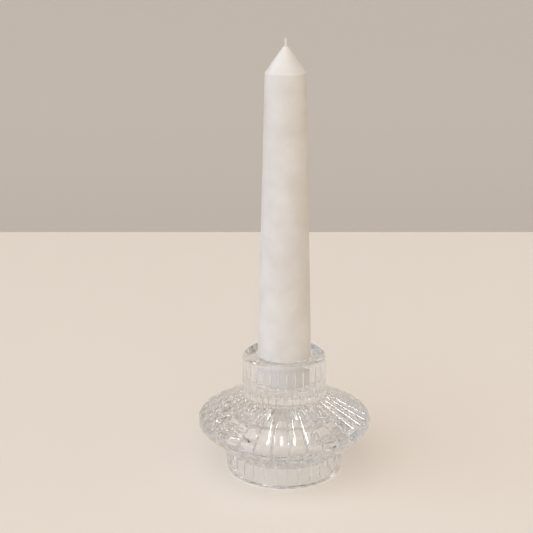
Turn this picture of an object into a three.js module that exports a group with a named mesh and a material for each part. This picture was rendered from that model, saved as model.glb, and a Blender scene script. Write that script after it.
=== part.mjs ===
// A pressed-glass candlestick holding a tapered dinner candle.
// Millimetres, +Z up, origin at the centre of the plane that the glass foot rests on.
// The glass is one pressing: a foot with a tealight well in its underside, a wide skirt, and a collar
// with the candle socket. Upright ribs run over the whole outside.
import * as THREE from "three";

// Glass outline. Radii are to the crests of the ribs.
const FOOT_RADIUS = 24.7;
const FOOT_HEIGHT = 9.4;
const FOOT_LIP_ROUND = 0.8;
const SKIRT_EDGE_ROUND = 3.4;
const SKIRT_EDGE_CENTRE = new THREE.Vector2(33.2, 21.6);
const COLLAR_RADIUS = 17.7;
const COLLAR_BOTTOM = 33.5;
const GLASS_HEIGHT = 51.4;
const RIM_ROUND = 2.4;

// Candle socket in the collar, and tealight well in the foot.
const SOCKET_RADIUS = 11.7;
const SOCKET_DEPTH = 14;
const SOCKET_FLOOR_ROUND = 4;
const SOCKET_MOUTH_ROUND = 0.8;
const WELL_RADIUS = 20;
const WELL_DEPTH = 21;
const WELL_CEILING_ROUND = 2;
const WELL_MOUTH_ROUND = 0.6;

// Ribs: convex reeds with narrow valleys, which run out into a plain ring at the foot and a plain
// band under the rim. The first crest's angle is measured from -Y towards +X.
const RIB_COUNT = 32;
const SEGMENTS_PER_RIB = 4;
const FIRST_CREST = THREE.MathUtils.degToRad(8.2);
const FOOT_RIB_DEPTH = 0.7;
const EDGE_RIB_DEPTH = 1.0;
const COLLAR_RIB_DEPTH = 0.55;
const FOOT_RING_TOP = 3;
const RIM_BAND_BOTTOM = 48.9;
const RIB_RUN_OUT = 0.9;

// Candle and wick.
const FIT_GAP = 0.3; // between the candle and the socket floor, and between the wick and the wax
const CANDLE_RADIUS = 11.2;
const CANDLE_BUTT_ROUND = 3.5;
const TAPER_START = 52; // height at which the candle leaves the socket and its taper begins
const SHOULDER_RADIUS = 8.2;
const SHOULDER_HEIGHT = 168.7;
const TIP_RADIUS = 1.25;
const TIP_HEIGHT = 179;
const WICK_RADIUS = 0.6;
const WICK_STUB = 3;
const CANDLE_SEGMENTS = 48;
const WICK_SEGMENTS = 12;

const SOCKET_FLOOR = GLASS_HEIGHT - SOCKET_DEPTH;
const CANDLE_BOTTOM = SOCKET_FLOOR + FIT_GAP;

const glass = new THREE.MeshStandardMaterial({
  color: 0xe4e5e2,
  roughness: 0.03,
  metalness: 0,
  transparent: true,
  opacity: 0.35,
});
const wax = new THREE.MeshStandardMaterial({ color: 0xdcd6ce, roughness: 0.45, metalness: 0 });
const cotton = new THREE.MeshStandardMaterial({ color: 0xe2ded6, roughness: 0.9, metalness: 0 });

// A point of an outline: radius, height and the depth of the ribs there.
function station(radius, height, ribDepth = 0) {
  return { point: new THREE.Vector2(radius, height), ribDepth };
}

// Stations on an arc, angles in degrees from the outward direction towards +Z.
function arc(centre, radius, from, to, steps, ribDepth = 0) {
  return Array.from({ length: steps + 1 }, (_, i) => {
    const angle = THREE.MathUtils.degToRad(from + ((to - from) * i) / steps);
    const x = centre.x + radius * Math.cos(angle);
    const y = centre.y + radius * Math.sin(angle);
    return station(x, y, ribDepth);
  });
}

// Angle, in degrees, at which a straight line from a point touches a circle. side is 1 or -1.
function tangentAngle(point, centre, radius, side) {
  const toCentre = centre.clone().sub(point);
  const opening = Math.asin(radius / toCentre.length());
  const lineAngle = toCentre.angle() - side * opening;
  return THREE.MathUtils.radToDeg(lineAngle - side * (Math.PI / 2));
}

// The closed outline of half the glass, from the well's ceiling outwards, up the outside and down
// into the socket.
function glassOutline() {
  const footTop = new THREE.Vector2(FOOT_RADIUS, FOOT_HEIGHT);
  const collarFoot = new THREE.Vector2(COLLAR_RADIUS, COLLAR_BOTTOM);
  const lowerTouch = tangentAngle(footTop, SKIRT_EDGE_CENTRE, SKIRT_EDGE_ROUND, 1);
  const upperTouch = tangentAngle(collarFoot, SKIRT_EDGE_CENTRE, SKIRT_EDGE_ROUND, -1);
  const wellCorner = new THREE.Vector2(WELL_RADIUS - WELL_CEILING_ROUND, WELL_DEPTH - WELL_CEILING_ROUND);
  const wellLip = new THREE.Vector2(WELL_RADIUS + WELL_MOUTH_ROUND, WELL_MOUTH_ROUND);
  const footLip = new THREE.Vector2(FOOT_RADIUS - FOOT_LIP_ROUND, FOOT_LIP_ROUND);
  const rim = new THREE.Vector2(COLLAR_RADIUS - RIM_ROUND, GLASS_HEIGHT - RIM_ROUND);
  const mouthRadius = SOCKET_RADIUS + SOCKET_MOUTH_ROUND;
  const mouth = new THREE.Vector2(mouthRadius, GLASS_HEIGHT - SOCKET_MOUTH_ROUND);
  const socketCorner = new THREE.Vector2(
    SOCKET_RADIUS - SOCKET_FLOOR_ROUND,
    SOCKET_FLOOR + SOCKET_FLOOR_ROUND,
  );
  return [
    station(0, WELL_DEPTH),
    ...arc(wellCorner, WELL_CEILING_ROUND, 90, 0, 3),
    ...arc(wellLip, WELL_MOUTH_ROUND, 180, 270, 2),
    ...arc(footLip, FOOT_LIP_ROUND, -90, 0, 2),
    station(FOOT_RADIUS, FOOT_RING_TOP),
    station(FOOT_RADIUS, FOOT_RING_TOP + RIB_RUN_OUT, FOOT_RIB_DEPTH),
    station(FOOT_RADIUS, FOOT_HEIGHT, FOOT_RIB_DEPTH),
    ...arc(SKIRT_EDGE_CENTRE, SKIRT_EDGE_ROUND, lowerTouch, upperTouch, 6, EDGE_RIB_DEPTH),
    station(COLLAR_RADIUS, COLLAR_BOTTOM, COLLAR_RIB_DEPTH),
    station(COLLAR_RADIUS, RIM_BAND_BOTTOM - RIB_RUN_OUT, COLLAR_RIB_DEPTH),
    station(COLLAR_RADIUS, RIM_BAND_BOTTOM),
    ...arc(rim, RIM_ROUND, 0, 90, 4),
    ...arc(mouth, SOCKET_MOUTH_ROUND, 90, 180, 2),
    ...arc(socketCorner, SOCKET_FLOOR_ROUND, 0, -90, 4),
    station(0, SOCKET_FLOOR),
  ];
}

// Revolves an outline and presses the ribs into it, square to the outline.
function ribbedLathe(outline) {
  const points = outline.map(({ point }) => point);
  const segments = RIB_COUNT * SEGMENTS_PER_RIB;
  const geometry = new THREE.LatheGeometry(points, segments, FIRST_CREST, 2 * Math.PI);
  const position = geometry.getAttribute("position");
  const normals = outline.map((_, j) => {
    const before = points[Math.max(j - 1, 0)];
    const after = points[Math.min(j + 1, points.length - 1)];
    const along = after.clone().sub(before).normalize();
    return new THREE.Vector2(along.y, -along.x);
  });
  for (let i = 0; i <= segments; i++) {
    const turn = (2 * Math.PI * i) / segments;
    const valley = 1 - Math.abs(Math.cos((RIB_COUNT / 2) * turn));
    outline.forEach(({ point, ribDepth }, j) => {
      const radius = point.x - valley * ribDepth * normals[j].x;
      const height = point.y - valley * ribDepth * normals[j].y;
      const angle = FIRST_CREST + turn;
      const index = i * points.length + j;
      position.setXYZ(index, radius * Math.sin(angle), height, radius * Math.cos(angle));
    });
  }
  return geometry;
}

// The wax: straight in the socket, tapered above it, with a conical tip and a bore for the wick.
function waxOutline() {
  const bore = WICK_RADIUS + FIT_GAP;
  const buttCorner = new THREE.Vector2(CANDLE_RADIUS - CANDLE_BUTT_ROUND, CANDLE_BOTTOM + CANDLE_BUTT_ROUND);
  const outside = [
    ...arc(buttCorner, CANDLE_BUTT_ROUND, -90, 0, 4),
    station(CANDLE_RADIUS, TAPER_START),
    station(SHOULDER_RADIUS, SHOULDER_HEIGHT),
    station(TIP_RADIUS, TIP_HEIGHT),
  ].map(({ point }) => point);
  const boreBottom = new THREE.Vector2(bore, CANDLE_BOTTOM);
  return [boreBottom, ...outside, new THREE.Vector2(bore, TIP_HEIGHT), boreBottom];
}

function wickOutline() {
  const top = TIP_HEIGHT + WICK_STUB;
  return [
    new THREE.Vector2(0, CANDLE_BOTTOM),
    new THREE.Vector2(WICK_RADIUS, CANDLE_BOTTOM),
    new THREE.Vector2(WICK_RADIUS, top),
    new THREE.Vector2(0, top),
  ];
}

// A lathe turns about +Y, so each piece is stood up on +Z.
function piece(name, geometry, material) {
  const mesh = new THREE.Mesh(geometry, material);
  mesh.name = name;
  mesh.rotation.x = Math.PI / 2;
  return mesh;
}

const candle = new THREE.Group();
candle.name = "candle";
candle.add(piece("candle_wax", new THREE.LatheGeometry(waxOutline(), CANDLE_SEGMENTS), wax));
candle.add(piece("wick", new THREE.LatheGeometry(wickOutline(), WICK_SEGMENTS), cotton));

const candlestick = new THREE.Group();
candlestick.name = "glass_candlestick";
candlestick.add(piece("glass_holder", ribbedLathe(glassOutline()), glass));
candlestick.add(candle);

export default candlestick;
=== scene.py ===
"""Looks for the glass candlestick: clear ribbed glass, a white dinner candle and its braided wick.

Metres, +Z up, the same frame as the CAD model. The height of the glass, the candle's foot and the
wick's two ends come from the frame. The other sizes are values of the design, in millimetres where a
heading says so.
"""

import math

import bpy
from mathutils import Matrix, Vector


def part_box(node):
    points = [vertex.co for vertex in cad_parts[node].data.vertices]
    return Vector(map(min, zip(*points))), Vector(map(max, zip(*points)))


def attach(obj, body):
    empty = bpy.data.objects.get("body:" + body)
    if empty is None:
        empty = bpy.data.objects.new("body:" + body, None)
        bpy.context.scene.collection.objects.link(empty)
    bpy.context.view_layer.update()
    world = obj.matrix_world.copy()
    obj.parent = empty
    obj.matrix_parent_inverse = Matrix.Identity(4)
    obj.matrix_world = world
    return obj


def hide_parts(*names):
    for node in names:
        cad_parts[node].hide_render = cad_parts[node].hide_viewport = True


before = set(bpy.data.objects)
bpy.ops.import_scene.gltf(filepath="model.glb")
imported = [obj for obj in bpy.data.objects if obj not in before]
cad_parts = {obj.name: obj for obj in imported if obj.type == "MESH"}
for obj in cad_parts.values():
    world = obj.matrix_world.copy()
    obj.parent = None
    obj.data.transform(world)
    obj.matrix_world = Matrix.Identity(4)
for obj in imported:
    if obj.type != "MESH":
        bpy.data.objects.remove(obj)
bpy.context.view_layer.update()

MM = 0.001

# Glass outline, in millimetres. Radii are to the crests of the ribs.
FOOT_RADIUS = 24.7
FOOT_HEIGHT = 9.4
FOOT_LIP_ROUND = 0.8
SKIRT_EDGE_ROUND = 3.4
SKIRT_EDGE_CENTRE = (33.2, 21.6)
COLLAR_RADIUS = 17.7
COLLAR_BOTTOM = 33.5
RIM_ROUND = 2.4
SOCKET_RADIUS = 11.7
SOCKET_DEPTH = 14.0
SOCKET_FLOOR_ROUND = 4.0
SOCKET_MOUTH_ROUND = 0.8
WELL_RADIUS = 20.0
WELL_DEPTH = 21.0
WELL_CEILING_ROUND = 2.0
WELL_MOUTH_ROUND = 0.6
JUNCTION_ROUND = 1.2  # the fillets between foot, skirt and collar

# Ribs: depths and heights in millimetres, and places across a rib as shares of the rib spacing, from
# one crest to the next.
RIB_COUNT = 32
FIRST_CREST = math.radians(8.2)  # from -Y towards +X
LIP_NOTCH_DEPTH = 0.35  # of the notches in the rounded edge that the foot stands on
FOOT_RIB_DEPTH = 0.7
EDGE_RIB_DEPTH = 1.25
COLLAR_RIB_DEPTH = 0.7
FOOT_RING_TOP = 3.0
RIM_BAND_BOTTOM = 48.9
RIB_RUN_OUT = 0.9
GROOVE_PLACE = 0.5
GROOVE_HALF_WIDTH = 0.085
CROWN_SHARE = 0.32  # of the rib depth; the rest of it is the groove
HALF_RIB_PLACES = [0, 0.15, 0.28, 0.37, 0.415, 0.435, 0.455, 0.473, 0.488, GROOVE_PLACE]

# How finely outlines are cut: steps on each kind of round, and spacing in millimetres on straights.
ROUND_STEPS = 8
SMALL_ROUND_STEPS = 4
JUNCTION_STEPS = 6
SKIRT_EDGE_STEPS = 12
WELL_SPACING = 3
STANDING_RING_SPACING = 1.2
FOOT_RING_SPACING = 0.8
RUN_OUT_SPACING = 0.15
RIB_SPACING = 1
COLLAR_SPACING = 1.2
RIM_SPACING = 1
SOCKET_WALL_SPACING = 2
SOCKET_FLOOR_SPACING = 2.5
AXIS_TOLERANCE = 1e-6

# Candle, in millimetres
CANDLE_RADIUS = 11.2
CANDLE_BUTT_ROUND = 3.5
TAPER_START = 52.0
SHOULDER_RADIUS = 8.2
SHOULDER_HEIGHT = 168.7
SHOULDER_ROUND = 0.9
SHOULDER_STEPS = 5
TIP_RADIUS = 1.1
TIP_HEIGHT = 179.0
TIP_ROUND = [(1, 0.3), (0.7, 0.05), (0.45, 0)]  # share of the tip's radius, and depth below its top
CANDLE_BUTT_SPACING = 1.0
CANDLE_SIDE_SPACING = 1.5
CONE_SPACING = 0.6
CANDLE_SEGMENTS = 96

# Wick, in millimetres
STRAND_COUNT = 3
STRAND_RADIUS = 0.29
STRAND_SWING = 0.29  # how far a strand's centre is from the wick's
STRAND_PITCH = 2.2
STRAND_SIDES = 8
RINGS_PER_TURN = 12

# Paints and surfaces
GLASS_TINT = (0.95, 0.965, 0.985, 1)
WAX_DARK = (0.65, 0.625, 0.61, 1)
WAX_LIGHT = (0.71, 0.69, 0.68, 1)
MOTTLE_EDGES = (0.35, 0.65)  # noise values between which the wax goes from dark to light
COTTON = (0.78, 0.74, 0.68, 1)
TABLE_PAINT = (0.78, 0.725, 0.68, 1)
WALL_PAINT = (0.52, 0.475, 0.44, 1)

# Stage, in metres
TABLE_FRONT = -2
TABLE_BACK = 0.377
TABLE_HALF_WIDTH = 2
WALL_DISTANCE = 0.9
WALL_HALF_WIDTH = 3
WALL_BOTTOM = -1
WALL_TOP = 3
AIR_FILM = 0.0001  # the glass rests on its high points, so air lies between it and the table

# Room light. Its directions are from the part outwards.
ROOM_LEFT = (0.98, 1.04, 1.18, 1)
ROOM_RIGHT = (1.06, 0.90, 0.60, 1)
ROOM_STRENGTH = 0.74
WINDOW_DIRECTION = (-0.8, -0.9, 1.2)
WINDOW_INNER_ANGLE = math.radians(15)
WINDOW_OUTER_ANGLE = math.radians(65)
WINDOW_LEVEL = 2.25  # times as bright as the room
CLUTTER_SCALE = 4.2
CLUTTER_DETAIL = 1
CLUTTER_EDGES = (0.50, 0.54)  # noise values between which dark things give way to the room
CLUTTER_LEVELS = (0.0, 0.95)
LIGHT_BOUNCES = 32  # inside solid glass, light turns many times before it gets out

# Lamps: direction and power of each, and one distance and size in metres.
LAMPS = {
    "lamp_above_left": ((-0.03, 0.17, 0.985), 1.6),
    "lamp_above_right": ((0.052, 0.17, 0.984), 1.2),
    "lamp_right": ((0.495, 0.695, 0.525), 0.55),
    "lamp_left": ((-0.62, 0.375, 0.69), 0.9),
}
LAMP_DISTANCE = 1.2
LAMP_SIZE = (0.028, 0.3)
LAMP_COLOUR = (1.0, 0.98, 0.95)

# Camera: place and clipping in metres, lens and sensor in millimetres.
CAMERA_PLACE = (-0.0075, -0.4828, 0.2366)
CAMERA_TILT_DOWN = 17  # degrees
CAMERA_LENS = 82.8
CAMERA_SENSOR = 36
CAMERA_CLIP_START = 0.01


def new_object(name, vertices, faces, material, smooth=True):
    """A mesh object in the scene, from vertices in metres."""
    mesh = bpy.data.meshes.new(name)
    mesh.from_pydata(vertices, [], faces)
    mesh.materials.append(material)
    mesh.polygons.foreach_set("use_smooth", [smooth] * len(mesh.polygons))
    mesh.update()
    thing = bpy.data.objects.new(name, mesh)
    bpy.context.scene.collection.objects.link(thing)
    return thing


def arc(centre, radius, start, end, steps):
    """Points on an arc of the outline, with angles in degrees from the outward direction."""
    turn = [math.radians(start + (end - start) * i / steps) for i in range(steps + 1)]
    return [(centre[0] + radius * math.cos(a), centre[1] + radius * math.sin(a)) for a in turn]


def straight(start, end, spacing):
    """Evenly spaced points from start to end, both included."""
    steps = max(1, round(math.dist(start, end) / spacing))
    return [
        tuple(p + (q - p) * i / steps for p, q in zip(start, end)) for i in range(steps + 1)
    ]


def smoothstep(value):
    """0 below 0, 1 above 1, and an even S between."""
    value = min(max(value, 0.0), 1.0)
    return value * value * (3 - 2 * value)


def mix(a, b, share):
    """a where share is 0 and b where it is 1."""
    return a + (b - a) * share


# --- Glass -------------------------------------------------------------------------------------


def tangent_angle(point, centre, radius, side):
    """The angle, in degrees, at which a straight line from a point touches a circle."""
    dx = centre[0] - point[0]
    dy = centre[1] - point[1]
    opening = math.asin(radius / math.hypot(dx, dy))
    line = math.atan2(dy, dx) - side * opening
    return math.degrees(line - side * math.pi / 2)


def rounded_corner(before, corner, after, radius, steps):
    """Points that round off the corner between two straight stretches, as a fillet of that radius would.

    They lie on a quadratic curve through the fillet's two tangent points.
    """
    a = Vector(before) - Vector(corner)
    b = Vector(after) - Vector(corner)
    a.normalize()
    b.normalize()
    half = a.angle(b) / 2
    cut = radius / math.tan(half)
    start = Vector(corner) + a * cut
    end = Vector(corner) + b * cut
    points = []
    for i in range(steps + 1):
        t = i / steps
        p = start * (1 - t) ** 2 + Vector(corner) * 2 * t * (1 - t) + end * t**2
        points.append((p.x, p.y))
    return points


def glass_outline(height):
    """The half outline as (radius, height, rib depth), from the well's ceiling to the socket's floor."""
    floor = height - SOCKET_DEPTH
    foot_top = (FOOT_RADIUS, FOOT_HEIGHT)
    collar_foot = (COLLAR_RADIUS, COLLAR_BOTTOM)
    lower = tangent_angle(foot_top, SKIRT_EDGE_CENTRE, SKIRT_EDGE_ROUND, 1)
    upper = tangent_angle(collar_foot, SKIRT_EDGE_CENTRE, SKIRT_EDGE_ROUND, -1)
    edge = arc(SKIRT_EDGE_CENTRE, SKIRT_EDGE_ROUND, lower, upper, SKIRT_EDGE_STEPS)
    rib_top = (COLLAR_RADIUS, RIM_BAND_BOTTOM - RIB_RUN_OUT)
    rib_foot = (FOOT_RADIUS, FOOT_RING_TOP + RIB_RUN_OUT)
    foot_fillet = rounded_corner(rib_foot, foot_top, edge[0], JUNCTION_ROUND, JUNCTION_STEPS)
    collar_fillet = rounded_corner(edge[-1], collar_foot, rib_top, JUNCTION_ROUND, JUNCTION_STEPS)

    well_corner = (WELL_RADIUS - WELL_CEILING_ROUND, WELL_DEPTH - WELL_CEILING_ROUND)
    well_lip = (WELL_RADIUS + WELL_MOUTH_ROUND, WELL_MOUTH_ROUND)
    foot_lip = (FOOT_RADIUS - FOOT_LIP_ROUND, FOOT_LIP_ROUND)
    plain = straight((0, WELL_DEPTH), (well_corner[0], WELL_DEPTH), WELL_SPACING)
    plain += arc(well_corner, WELL_CEILING_ROUND, 90, 0, ROUND_STEPS)[1:]
    well_wall = (WELL_RADIUS, well_corner[1]), (WELL_RADIUS, WELL_MOUTH_ROUND)
    plain += straight(*well_wall, WELL_SPACING)[1:]
    plain += arc(well_lip, WELL_MOUTH_ROUND, 180, 270, SMALL_ROUND_STEPS)[1:]
    plain += straight((well_lip[0], 0), (foot_lip[0], 0), STANDING_RING_SPACING)[1:]
    outline = [(r, z, 0.0) for r, z in plain]

    def ribbed(points, depth_at):
        outline.extend((r, z, depth_at(r, z)) for r, z in points[1:])

    def lip_depth(_, z):
        return LIP_NOTCH_DEPTH * smoothstep(1 - z / FOOT_LIP_ROUND)

    def foot_depth(_, z):
        return FOOT_RIB_DEPTH * smoothstep((z - FOOT_RING_TOP) / RIB_RUN_OUT)

    def collar_depth(_, z):
        return COLLAR_RIB_DEPTH * smoothstep((RIM_BAND_BOTTOM - z) / RIB_RUN_OUT)

    def skirt_depth(inner_radius, inner_depth):
        span = edge[0][0] - inner_radius
        return lambda r, _: mix(
            inner_depth, EDGE_RIB_DEPTH, smoothstep((r - inner_radius) / span)
        )

    ribbed(arc(foot_lip, FOOT_LIP_ROUND, -90, 0, ROUND_STEPS), lip_depth)
    ring_top = (FOOT_RADIUS, FOOT_RING_TOP)
    ribbed(straight((FOOT_RADIUS, FOOT_LIP_ROUND), ring_top, FOOT_RING_SPACING), foot_depth)
    ribbed(straight(ring_top, rib_foot, RUN_OUT_SPACING), foot_depth)
    ribbed(straight(rib_foot, foot_fillet[0], RIB_SPACING), foot_depth)
    under_depth = skirt_depth(FOOT_RADIUS, FOOT_RIB_DEPTH)
    ribbed(foot_fillet, under_depth)
    ribbed(straight(foot_fillet[-1], edge[0], RIB_SPACING), under_depth)
    ribbed(edge, lambda r, z: EDGE_RIB_DEPTH)
    over_depth = skirt_depth(COLLAR_RADIUS, COLLAR_RIB_DEPTH)
    ribbed(straight(edge[-1], collar_fillet[0], RIB_SPACING), over_depth)
    ribbed(collar_fillet, over_depth)
    ribbed(straight(collar_fillet[-1], rib_top, COLLAR_SPACING), collar_depth)
    ribbed(straight(rib_top, (COLLAR_RADIUS, RIM_BAND_BOTTOM), RUN_OUT_SPACING), collar_depth)

    rim = (COLLAR_RADIUS - RIM_ROUND, height - RIM_ROUND)
    mouth = (SOCKET_RADIUS + SOCKET_MOUTH_ROUND, height - SOCKET_MOUTH_ROUND)
    corner = (SOCKET_RADIUS - SOCKET_FLOOR_ROUND, floor + SOCKET_FLOOR_ROUND)
    inside = arc(rim, RIM_ROUND, 0, 90, ROUND_STEPS)
    inside += straight((rim[0], height), (mouth[0], height), RIM_SPACING)[1:]
    inside += arc(mouth, SOCKET_MOUTH_ROUND, 90, 180, SMALL_ROUND_STEPS)[1:]
    socket_wall = (SOCKET_RADIUS, mouth[1]), (SOCKET_RADIUS, corner[1])
    inside += straight(*socket_wall, SOCKET_WALL_SPACING)[1:]
    inside += arc(corner, SOCKET_FLOOR_ROUND, 0, -90, ROUND_STEPS)[1:]
    inside += straight((corner[0], floor), (0, floor), SOCKET_FLOOR_SPACING)[1:]
    outline += [(r, z, 0.0) for r, z in inside]
    return outline


def rib_angles():
    """Angles round the glass, with the share of the rib depth at each.

    A reed is a shallow crown, and a narrow steep groove parts it from the next one. The angles are
    closer together near each groove.
    """
    places = HALF_RIB_PLACES + [1 - place for place in reversed(HALF_RIB_PLACES[1:-1])]
    angles = []
    for rib in range(RIB_COUNT):
        for place in places:
            off = min(place, 1 - place)
            crown = (off / GROOVE_PLACE) ** 2
            groove = smoothstep((off - GROOVE_PLACE + GROOVE_HALF_WIDTH) / GROOVE_HALF_WIDTH)
            angle = FIRST_CREST + 2 * math.pi * (rib + place) / RIB_COUNT
            angles.append((angle, mix(groove, crown, CROWN_SHARE)))
    return angles


def revolve(outline, angles):
    """Vertices and faces of a turned body.

    outline is (radius, height, rib depth) in millimetres, and angles is (angle, share of the rib depth).
    """
    vertices = []
    rows = []
    faces = []
    for i, (r, z, depth) in enumerate(outline):
        before = outline[max(i - 1, 0)]
        after = outline[min(i + 1, len(outline) - 1)]
        along = Vector((after[0] - before[0], after[1] - before[1])).normalized()
        if r < AXIS_TOLERANCE:
            rows.append([len(vertices)])
            vertices.append((0, 0, z * MM))
            continue
        rows.append(range(len(vertices), len(vertices) + len(angles)))
        for angle, share in angles:
            radius = (r - depth * share * along.y) * MM
            height = (z + depth * share * along.x) * MM
            vertices.append((radius * math.sin(angle), -radius * math.cos(angle), height))
    count = len(angles)
    for low, high in zip(rows, rows[1:]):
        for k in range(count):
            n = (k + 1) % count
            if len(low) == 1:
                faces.append((low[0], high[n], high[k]))
            elif len(high) == 1:
                faces.append((low[k], low[n], high[0]))
            else:
                faces.append((low[k], low[n], high[n], high[k]))
    return vertices, faces


def plain_angles(count):
    """Even angles all round, with no ribs."""
    return [(2 * math.pi * i / count, 0.0) for i in range(count)]


def new_material(name, **values):
    """A material, its nodes and links, and its shader with the given values on its own sockets."""
    material = bpy.data.materials.new(name)
    material.use_nodes = True
    shader = material.node_tree.nodes["Principled BSDF"]
    for socket, value in values.items():
        shader.inputs[socket.replace("_", " ")].default_value = value
    return material, material.node_tree.nodes, material.node_tree.links, shader


def noise(nodes, links, scale, detail, squeeze=(1, 1, 1)):
    """A noise texture fixed to the object. A squeeze below 1 along an axis draws it out that way."""
    place = nodes.new("ShaderNodeTexCoord")
    mapping = nodes.new("ShaderNodeMapping")
    mapping.inputs["Scale"].default_value = squeeze
    texture = nodes.new("ShaderNodeTexNoise")
    texture.inputs["Scale"].default_value = scale
    texture.inputs["Detail"].default_value = detail
    links.new(place.outputs["Object"], mapping.inputs["Vector"])
    links.new(mapping.outputs["Vector"], texture.inputs["Vector"])
    return texture


def bump(nodes, links, height, strength, distance):
    node = nodes.new("ShaderNodeBump")
    node.inputs["Strength"].default_value = strength
    node.inputs["Distance"].default_value = distance
    links.new(height, node.inputs["Height"])
    return node


def glass_material():
    material, nodes, links, shader = new_material(
        "clear_glass", Base_Color=GLASS_TINT, Transmission_Weight=1.0, IOR=1.52, Roughness=0.0
    )
    # The faint waviness that pressing and fire polishing leave in the surface.
    waves = noise(nodes, links, scale=160, detail=1.5)
    ripple = bump(nodes, links, waves.outputs["Fac"], strength=0.01, distance=0.0004)
    links.new(ripple.outputs["Normal"], shader.inputs["Normal"])
    return material


def make_glass():
    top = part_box("glass_holder")[1][2] / MM
    vertices, faces = revolve(glass_outline(top), rib_angles())
    glass = new_object("ribbed_glass_body", vertices, faces, glass_material())
    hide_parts("glass_holder")
    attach(glass, "holder")


# --- Candle ------------------------------------------------------------------------------------


def wax_material():
    material, nodes, links, shader = new_material(
        "white_wax",
        Roughness=0.42,
        Subsurface_Weight=0.35,
        Subsurface_Radius=(1.0, 0.75, 0.45),
        Subsurface_Scale=0.004,
        IOR=1.44,
    )
    mottle = noise(nodes, links, scale=90, detail=3)
    tint = nodes.new("ShaderNodeValToRGB")
    for stop, position, colour in zip(tint.color_ramp.elements, MOTTLE_EDGES, (WAX_DARK, WAX_LIGHT)):
        stop.position = position
        stop.color = colour
    links.new(mottle.outputs["Fac"], tint.inputs["Fac"])
    links.new(tint.outputs["Color"], shader.inputs["Base Color"])
    grain = noise(nodes, links, scale=500, detail=2, squeeze=(1, 1, 0.35))
    surface = bump(nodes, links, grain.outputs["Fac"], strength=0.25, distance=0.0002)
    links.new(surface.outputs["Normal"], shader.inputs["Normal"])
    return material


def wax_outline(bottom):
    """The half outline of the candle, from its foot to the rounded end of its tip."""
    butt = (CANDLE_RADIUS - CANDLE_BUTT_ROUND, bottom + CANDLE_BUTT_ROUND)
    shoulder = (SHOULDER_RADIUS, SHOULDER_HEIGHT)
    taper_foot = (CANDLE_RADIUS, TAPER_START)
    tip = [(TIP_RADIUS * share, TIP_HEIGHT - depth) for share, depth in TIP_ROUND]
    fillet = rounded_corner(taper_foot, shoulder, tip[0], SHOULDER_ROUND, SHOULDER_STEPS)
    points = straight((0, bottom), (butt[0], bottom), CANDLE_BUTT_SPACING)
    points += arc(butt, CANDLE_BUTT_ROUND, -90, 0, ROUND_STEPS)[1:]
    points += straight((CANDLE_RADIUS, butt[1]), taper_foot, CANDLE_SIDE_SPACING)[1:]
    points += straight(taper_foot, fillet[0], CANDLE_SIDE_SPACING)[1:]
    points += fillet[1:]
    points += straight(fillet[-1], tip[0], CONE_SPACING)[1:]
    points += tip[1:]
    points.append((0, TIP_HEIGHT))
    return [(r, z, 0.0) for r, z in points]


def make_wax():
    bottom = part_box("candle_wax")[0][2] / MM
    vertices, faces = revolve(wax_outline(bottom), plain_angles(CANDLE_SEGMENTS))
    wax = new_object("dinner_candle", vertices, faces, wax_material())
    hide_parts("candle_wax")
    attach(wax, "candle")


def wick_material():
    material, nodes, links, shader = new_material(
        "cotton_wick", Base_Color=COTTON, Roughness=0.85, Sheen_Weight=0.3
    )
    fibres = noise(nodes, links, scale=2500, detail=2, squeeze=(1, 1, 0.2))
    surface = bump(nodes, links, fibres.outputs["Fac"], strength=0.4, distance=0.00005)
    links.new(surface.outputs["Normal"], shader.inputs["Normal"])
    return material


def strand(low, high, first_turn):
    """Vertices and faces of one strand of the wick, from height low to height high in metres."""
    radius = STRAND_RADIUS * MM
    swing = STRAND_SWING * MM
    rings = round((high - low) / (STRAND_PITCH * MM) * RINGS_PER_TURN)
    vertices = []
    faces = []
    for i in range(rings + 1):
        turn = 2 * math.pi * (i / RINGS_PER_TURN + first_turn)
        centre = Vector((swing * math.cos(turn), swing * math.sin(turn), mix(low, high, i / rings)))
        for side in range(STRAND_SIDES):
            angle = 2 * math.pi * side / STRAND_SIDES
            vertices.append(centre + Vector((radius * math.cos(angle), radius * math.sin(angle), 0)))
    for i in range(rings):
        for side in range(STRAND_SIDES):
            here = i * STRAND_SIDES + side
            beside = i * STRAND_SIDES + (side + 1) % STRAND_SIDES
            faces.append((here, beside, beside + STRAND_SIDES, here + STRAND_SIDES))
    faces.append(tuple(reversed(range(STRAND_SIDES))))
    faces.append(tuple(rings * STRAND_SIDES + side for side in range(STRAND_SIDES)))
    return vertices, faces


def make_wick():
    """Three strands wound round each other, from the candle's foot to the stub above its tip."""
    low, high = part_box("wick")
    vertices = []
    faces = []
    for k in range(STRAND_COUNT):
        first = len(vertices)
        strand_vertices, strand_faces = strand(low.z, high.z, k / STRAND_COUNT)
        vertices += strand_vertices
        faces += [tuple(first + index for index in face) for face in strand_faces]
    wick = new_object("braided_wick", vertices, faces, wick_material())
    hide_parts("wick")
    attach(wick, "candle")


# --- Stage, light and camera --------------------------------------------------------------------


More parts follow.
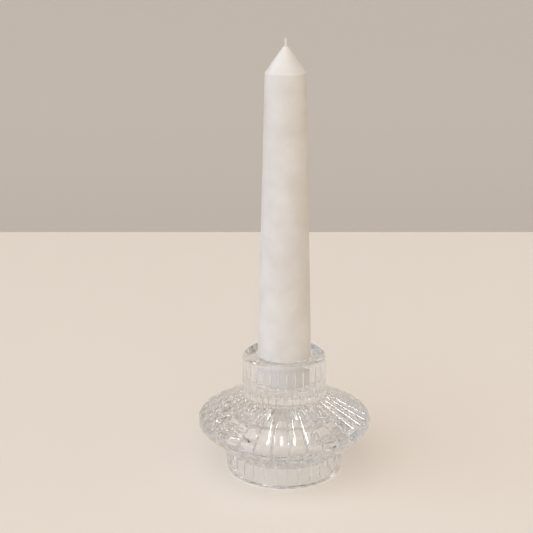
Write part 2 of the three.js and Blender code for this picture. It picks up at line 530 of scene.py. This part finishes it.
def make_stage():
    """A plain pale table with a plain wall behind it."""
    table_paint, *_ = new_material("table_paint", Base_Color=TABLE_PAINT, Roughness=0.6)
    wall_paint, *_ = new_material("wall_paint", Base_Color=WALL_PAINT, Roughness=0.8)
    table = [
        (-TABLE_HALF_WIDTH, TABLE_FRONT, -AIR_FILM),
        (TABLE_HALF_WIDTH, TABLE_FRONT, -AIR_FILM),
        (TABLE_HALF_WIDTH, TABLE_BACK, -AIR_FILM),
        (-TABLE_HALF_WIDTH, TABLE_BACK, -AIR_FILM),
    ]
    wall = [
        (-WALL_HALF_WIDTH, WALL_DISTANCE, WALL_BOTTOM),
        (WALL_HALF_WIDTH, WALL_DISTANCE, WALL_BOTTOM),
        (WALL_HALF_WIDTH, WALL_DISTANCE, WALL_TOP),
        (-WALL_HALF_WIDTH, WALL_DISTANCE, WALL_TOP),
    ]
    floor = new_object("floor", table, [(0, 1, 2, 3)], table_paint, smooth=False)
    backdrop = new_object("backdrop", wall, [(0, 1, 2, 3)], wall_paint, smooth=False)


def make_lamp(name, direction, power):
    """A small lamp that shows as a streak of light in the glass."""
    light = bpy.data.lights.new(name, "AREA")
    light.shape = "RECTANGLE"
    light.size, light.size_y = LAMP_SIZE
    light.energy = power
    light.color = LAMP_COLOUR
    holder = bpy.data.objects.new(name, light)
    holder.location = Vector(direction).normalized() * LAMP_DISTANCE
    holder.rotation_euler = holder.location.to_track_quat("Z", "Y").to_euler()
    holder.visible_diffuse = False
    holder.visible_camera = False
    bpy.context.scene.collection.objects.link(holder)


def map_range(nodes, links, value, source, target):
    """value moved from one range to another, and held at its ends."""
    node = nodes.new("ShaderNodeMapRange")
    node.inputs["From Min"].default_value, node.inputs["From Max"].default_value = source
    node.inputs["To Min"].default_value, node.inputs["To Max"].default_value = target
    links.new(value, node.inputs["Value"])
    return node.outputs["Result"]


def scaled(nodes, links, colour, factor):
    """colour times factor."""
    node = nodes.new("ShaderNodeVectorMath")
    node.operation = "SCALE"
    links.new(colour, node.inputs["Vector"])
    links.new(factor, node.inputs["Scale"])
    return node.outputs["Vector"]


def where(nodes, links, share, value):
    """value where share is 1, and 1 where share is 0."""
    node = nodes.new("ShaderNodeMix")
    node.inputs["A"].default_value = 1
    links.new(share, node.inputs["Factor"])
    links.new(value, node.inputs["B"])
    return node.outputs["Result"]


def room_colour(nodes, links, direction):
    """Cool on the left and warm on the right, with a bright window in front on the left."""
    axes = nodes.new("ShaderNodeSeparateXYZ")
    links.new(direction, axes.inputs["Vector"])
    ramp = nodes.new("ShaderNodeValToRGB")
    ramp.color_ramp.elements[0].color = ROOM_LEFT
    ramp.color_ramp.elements[1].color = ROOM_RIGHT
    links.new(map_range(nodes, links, axes.outputs["X"], (-1, 1), (0, 1)), ramp.inputs["Fac"])

    along = nodes.new("ShaderNodeVectorMath")
    along.operation = "DOT_PRODUCT"
    along.inputs[1].default_value = Vector(WINDOW_DIRECTION).normalized()
    links.new(direction, along.inputs[0])
    edge = (math.cos(WINDOW_OUTER_ANGLE), math.cos(WINDOW_INNER_ANGLE))
    window = map_range(nodes, links, along.outputs["Value"], edge, (1, WINDOW_LEVEL))
    return scaled(nodes, links, ramp.outputs["Color"], window)


def room_clutter(nodes, links, direction):
    """How bright the room is where dark things stand about in it."""
    clutter = nodes.new("ShaderNodeTexNoise")
    clutter.inputs["Scale"].default_value = CLUTTER_SCALE
    clutter.inputs["Detail"].default_value = CLUTTER_DETAIL
    links.new(direction, clutter.inputs["Vector"])
    return map_range(nodes, links, clutter.outputs["Fac"], CLUTTER_EDGES, CLUTTER_LEVELS)


def make_room_light():
    """Light from all round.

    For looks only, the clutter is found by rays that have passed through glass and have not yet met
    a matt surface. All others find the plain room.
    """
    world = bpy.data.worlds.new("room")
    world.use_nodes = True
    nodes = world.node_tree.nodes
    links = world.node_tree.links
    direction = nodes.new("ShaderNodeTexCoord").outputs["Generated"]
    path = nodes.new("ShaderNodeLightPath").outputs

    room = room_colour(nodes, links, direction)
    clutter = room_clutter(nodes, links, direction)
    through_glass = map_range(nodes, links, path["Transmission Depth"], (0, 1), (0, 1))
    not_lighting = map_range(nodes, links, path["Diffuse Depth"], (0, 1), (1, 0))
    level = where(nodes, links, not_lighting, where(nodes, links, through_glass, clutter))
    links.new(scaled(nodes, links, room, level), nodes["Background"].inputs["Color"])
    nodes["Background"].inputs["Strength"].default_value = ROOM_STRENGTH
    # Sampled as a light, the world would find its ray depths wrong and mix the two rooms.
    world.cycles.sampling_method = "NONE"
    bpy.context.scene.world = world


def make_camera():
    lens = bpy.data.cameras.new("camera")
    lens.sensor_width = CAMERA_SENSOR
    lens.lens = CAMERA_LENS
    lens.clip_start = CAMERA_CLIP_START
    camera = bpy.data.objects.new("camera", lens)
    camera.location = CAMERA_PLACE
    camera.rotation_euler = (math.radians(90 - CAMERA_TILT_DOWN), 0, 0)
    bpy.context.scene.collection.objects.link(camera)
    bpy.context.scene.camera = camera


def set_light_paths():
    """Enough turns for light inside the glass, and no blur on what reaches table and wax through it."""
    cycles = bpy.context.scene.cycles
    cycles.max_bounces = LIGHT_BOUNCES
    cycles.transmission_bounces = LIGHT_BOUNCES
    cycles.glossy_bounces = LIGHT_BOUNCES
    cycles.blur_glossy = 0


bpy.context.scene.view_settings.view_transform = "Standard"
set_light_paths()
make_camera()
make_glass()
make_wax()
make_wick()
make_stage()
for lamp_name, (direction, power) in LAMPS.items():
    make_lamp(lamp_name, direction, power)
make_room_light()
